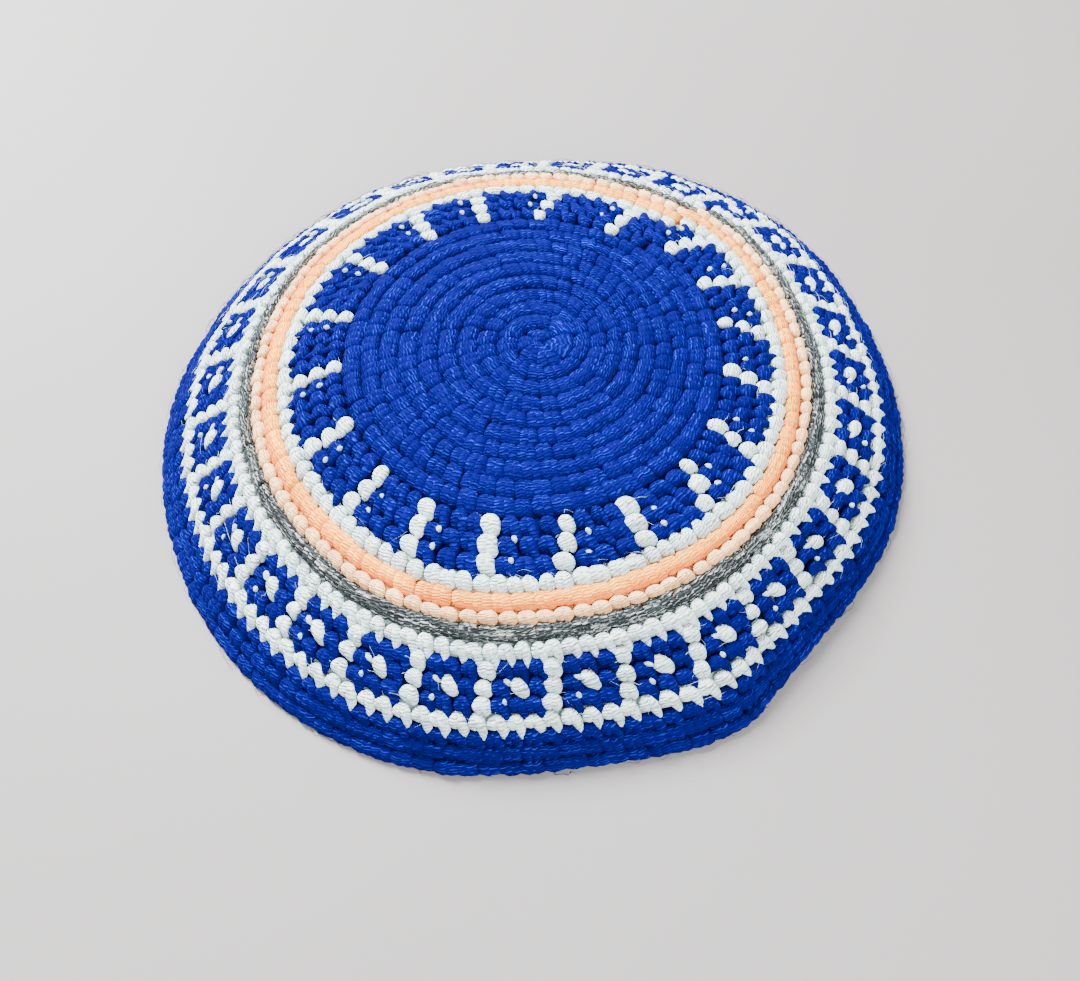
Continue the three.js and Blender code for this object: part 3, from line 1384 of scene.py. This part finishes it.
class PointBand(YarnPiece):
    """The blue rounds with the white points."""

    wide_gap = 19.2
    stitches_a_gap = 4

    @staticmethod
    def angles(step: float) -> tuple[float, ...]:
        """Where the points stand, some rounds into the band."""
        return tuple(point.angle + point.slant * step for point in POINTS)

    def counts(self) -> list[int]:
        """Stitches from point to point, one more where the gap is wide.

        Returns:
            How many there are in each gap.
        """
        angles = self.angles(1)
        gaps = np.diff([*angles, angles[0] + FULL_TURN])
        return [self.stitches_a_gap + int(gap >= self.wide_gap) for gap in gaps]

    def stitches(self) -> Stitches:
        """Rounds counted off from point to point, the first stitch of each gap white.

        Returns:
            The band's stitches.
        """
        groups = []
        for step in range(self.rounds):
            laid, number = self.chart.keyed_round(self.first + step, self.angles(step), self.counts())
            laid.yarn = np.where(number == 0, YarnNumber.SECOND.value, YarnNumber.FIRST.value)
            groups.append(laid)
        return Stitches.joined(groups)

    def looks(self, laid: Stitches) -> np.ndarray:
        """The blue stitches show their loops, and the white ones stand apart."""
        return np.where(laid.yarn == YarnNumber.SECOND.value, Look.PLUMP.value, Look.LOOPED.value)

    def peeks(self) -> Stitches:
        """A white spot to the right of the second and third stitch of each point.

        Returns:
            Where the spots are.
        """
        laid = self.stitches()
        chosen = laid.picked((laid.yarn == YarnNumber.SECOND.value) & (laid.place > self.first))
        return chosen.moved(MIDDLE + POINT_PEEK.run, POINT_PEEK.side)


@dataclass
class PlainRounds(YarnPiece):
    """Rounds of one yarn with evenly spaced stitches."""

    count: int = 100
    offset: float = 0.0
    look: Look = Look.PLUMP

    def looks(self, laid: Stitches) -> np.ndarray:
        """Every stitch has the piece's own look."""
        return np.full(len(laid), self.look.value)

    def stitches(self) -> Stitches:
        """Evenly spaced stitches, round by round.

        Returns:
            The piece's stitches.
        """
        numbers = range(self.first, self.first + self.rounds)
        rounds = [self.chart.plain_round(number, self.count, self.offset) for number in numbers]
        return Stitches.joined(rounds)


class UpperWhiteRound(YarnPiece):
    """The white round that the points stand on."""

    stitches_a_gap = 5

    def looks(self, laid: Stitches) -> np.ndarray:
        """Every stitch stands apart and ends above the peach."""
        return np.full(len(laid), Look.PLUMP.value)

    def stitches(self) -> Stitches:
        """As many stitches from each point to the next."""
        angles = PointBand.angles(self.first - self.fabric.first_round("point_band"))
        return self.chart.keyed_round(self.first, angles, [self.stitches_a_gap] * len(angles))[0]


class WindowBand(YarnPiece):
    """A white round, three rounds of blue windows in white, and a white round."""

    def stitches(self) -> Stitches:
        """Four stitches a window: a white column and three blue ones, the middle one white once.

        Returns:
            The band's stitches.
        """
        groups = []
        for step in range(self.rounds):
            laid, number = self.chart.window_round(self.first + step)
            white = (number == 0) | (step in (0, self.rounds - 1))
            white |= (number == WINDOW_MIDDLE) & (step == self.rounds // 2)
            laid.yarn = np.where(white, YarnNumber.SECOND.value, YarnNumber.FIRST.value)
            groups.append(laid)
        return Stitches.joined(groups)

    def looks(self, laid: Stitches) -> np.ndarray:
        """The stitches show their loops, the columns stand apart, and a window's middle stitch is shut.

        Args:
            laid: The band's stitches, round by round and window by window.

        Returns:
            Number of each stitch's look.
        """
        step = laid.place - self.first
        number = np.arange(len(laid)) % WINDOW_STITCHES
        column = (number == 0) & (step > 0) & (step < self.rounds - 1)
        centre = (number == WINDOW_MIDDLE) & (step == self.rounds // 2)
        shut = np.where(centre, Look.CENTRE.value, Look.LOOPED.value)
        return np.where(column, Look.PLUMP.value, shut)

    def middles(self) -> Stitches:
        """The middle stitch of each window.

        Returns:
            The white stitches, one a window.
        """
        laid, number = self.chart.window_round(self.first + self.rounds // 2)
        laid.yarn = np.full(len(laid), YarnNumber.SECOND.value)
        return laid.picked(number == WINDOW_MIDDLE)

    def peeks(self) -> Stitches:
        """A white spot under the middle stitch of each window."""
        return self.middles().moved(MIDDLE + WINDOW_PEEK.run, WINDOW_PEEK.side)

    def extras(self, layer: Layer, hand: Hand) -> None:
        """Adds the nub of white yarn beside each middle stitch."""
        nubs = self.middles().moved(MIDDLE + WINDOW_NUB.run, WINDOW_NUB.side)
        layer.add(self.fabric, self.book.nub, nubs, Face.OUTSIDE, hand)

    def ground_yarns(self) -> list[int]:
        """White under the white rounds, blue between."""
        blue = [YarnNumber.FIRST.value] * (self.rounds - 2)
        return [YarnNumber.SECOND.value, *blue, YarnNumber.SECOND.value]


class RimBorder(YarnPiece):
    """The blue rounds under the windows: the first stands apart, with white loops between."""

    def stitches(self) -> Stitches:
        """Rounds counted off on under the window columns."""
        numbers = range(self.first, self.first + self.rounds)
        return Stitches.joined([self.chart.window_round(number)[0] for number in numbers])

    def looks(self, laid: Stitches) -> np.ndarray:
        """The first round stands apart, the others read as ridges."""
        return np.where(laid.place == self.first, Look.LOOPED.value, Look.RIDGE.value)


class RimEdge(PlainRounds):
    """The edging row with its chain of top loops."""

    chain_run = 0.72

    def extras(self, layer: Layer, hand: Hand) -> None:
        """Adds the chain along the rim, on both sides.

        Args:
            layer: What the piece is put together from.
            hand: The unevenness of the hand work.
        """
        links = self.stitches().moved(self.chain_run, 0.0)
        for face in Face:
            layer.add(self.fabric, self.book.chain_link, links, face, hand)


# The room


@dataclass(frozen=True)
class Lamp:
    """One soft square light that looks at the cap, in metres and watts."""

    name: str
    at: tuple[float, float, float]
    size: float
    power: float


@dataclass
class Studio:
    """Floor, light and camera."""

    floor_size: float = 3.0
    floor_colour: str = "747170"
    floor_cloud: Grain = Grain(3.0, 3.0)
    floor_cloud_share: float = 0.08
    floor_roughness: float = 0.7
    lamps: tuple[Lamp, ...] = (
        Lamp("key_light", (-0.46, 0.50, 0.74), 0.40, 76.0),
        Lamp("fill_light", (0.6, -0.7, 0.6), 0.9, 31.0),
    )
    room_colour: tuple[float, float, float, float] = (1.0, 0.985, 0.97, 1.0)
    room_light: float = 0.66
    camera_at: tuple[float, float, float] = (2.565 * MM, -165.0 * MM, 232.4 * MM)
    camera_aim: tuple[float, float, float] = (2.565 * MM, -20.09 * MM, -1.33 * MM)
    lens: float = 36.0
    sensor: float = 36.0
    nearest: float = 0.01
    furthest: float = 20.0

    def floor(self) -> bpy.types.Object:
        """A plain pale floor.

        Returns:
            The floor.
        """
        bpy.ops.object.select_all(action="DESELECT")
        bpy.ops.mesh.primitive_plane_add(size=self.floor_size, location=(0, 0, 0))
        floor = bpy.context.object
        floor.name = "floor"
        board = Board("pale_floor")
        cloud = board.noise(board.node("ShaderNodeTexCoord").outputs["Object"], self.floor_cloud)
        share = board.math("MULTIPLY", cloud, self.floor_cloud_share)
        colour = board.blend(share, shade(self.floor_colour), shade("FFFFFF"))
        dressed = {"Base Color": colour, "Roughness": self.floor_roughness}
        surface = board.node("ShaderNodeBsdfPrincipled", dressed)
        board.node("ShaderNodeOutputMaterial", {0: surface.outputs[0]})
        floor.data.materials.append(board.material)
        return floor

    def lights(self) -> None:
        """A soft key from the back left, a weak fill from the front right and a pale room."""
        for lamp in self.lamps:
            bpy.ops.object.light_add(type="AREA", location=lamp.at)
            light = bpy.context.object
            light.name = lamp.name
            light.data.size = lamp.size
            light.data.energy = lamp.power
            light.rotation_euler = (-Vector(lamp.at)).to_track_quat("-Z", "Y").to_euler()
        world = bpy.data.worlds.new("room")
        world.use_nodes = True
        colour, strength = world.node_tree.nodes["Background"].inputs[:2]
        colour.default_value = self.room_colour
        strength.default_value = self.room_light
        bpy.context.scene.world = world

    def camera(self, middle: np.ndarray) -> bpy.types.Object:
        """Sets the camera at the photograph's viewing angle.

        Args:
            middle: How far the cap was moved to stand over the origin.

        Returns:
            The camera.
        """
        shift = Vector((*middle, 0))
        at, aim = Vector(self.camera_at) - shift, Vector(self.camera_aim) - shift
        bpy.ops.object.camera_add(location=at)
        camera = bpy.context.object
        camera.name = "camera"
        camera.rotation_euler = (aim - at).to_track_quat("-Z", "Y").to_euler()
        camera.data.lens = self.lens
        camera.data.sensor_width = self.sensor
        camera.data.sensor_fit = "HORIZONTAL"
        camera.data.clip_start = self.nearest
        camera.data.clip_end = self.furthest
        bpy.context.scene.camera = camera
        return camera


def main() -> None:
    """Builds the scene piece by piece."""
    logging.basicConfig(level=logging.INFO, format="%(name)s: %(message)s")
    fabric = Fabric()
    LOG.info("fabric: %.1f mm along, middle %s", fabric.length / MM, fabric.middle)
    studio = Studio()
    studio.floor()
    studio.lights()
    studio.camera(fabric.middle)
    book = StitchBook()
    materials = {yarn.name: yarn.material() for yarn in (ROYAL_BLUE, WHITE, PEACH, CREAM, GREY)}
    shared = {"fabric": fabric, "book": book, "materials": materials}
    ridge = {"look": Look.RIDGE, **shared}
    blue, pair = (ROYAL_BLUE,), (ROYAL_BLUE, WHITE)
    pieces = (
        Crown("crown", "blue_yarn", 1, blue, **shared),
        PointBand("point_band", "blue_and_white_points", 2, pair, **shared),
        UpperWhiteRound("upper_white_round", "white_yarn", 3, (WHITE,), **shared),
        PlainRounds("peach_round", "peach_yarn", 4, (PEACH,), count=95, offset=0.3, **ridge),
        PlainRounds("cream_round", "cream_yarn", 5, (CREAM,), count=104, **shared),
        PlainRounds("grey_round", "grey_yarn", 6, (GREY,), count=110, offset=0.6, **ridge),
        WindowBand("window_band", "white_and_blue_windows", 7, pair, **shared),
        RimBorder("rim_border", "border_blue_yarn", 8, blue, **shared),
        RimEdge("rim_edge", "edge_blue_yarn", 9, blue, count=124, offset=0.5, **ridge),
    )
    for piece in pieces:
        piece.build()


if __name__ == "__main__":
    main()
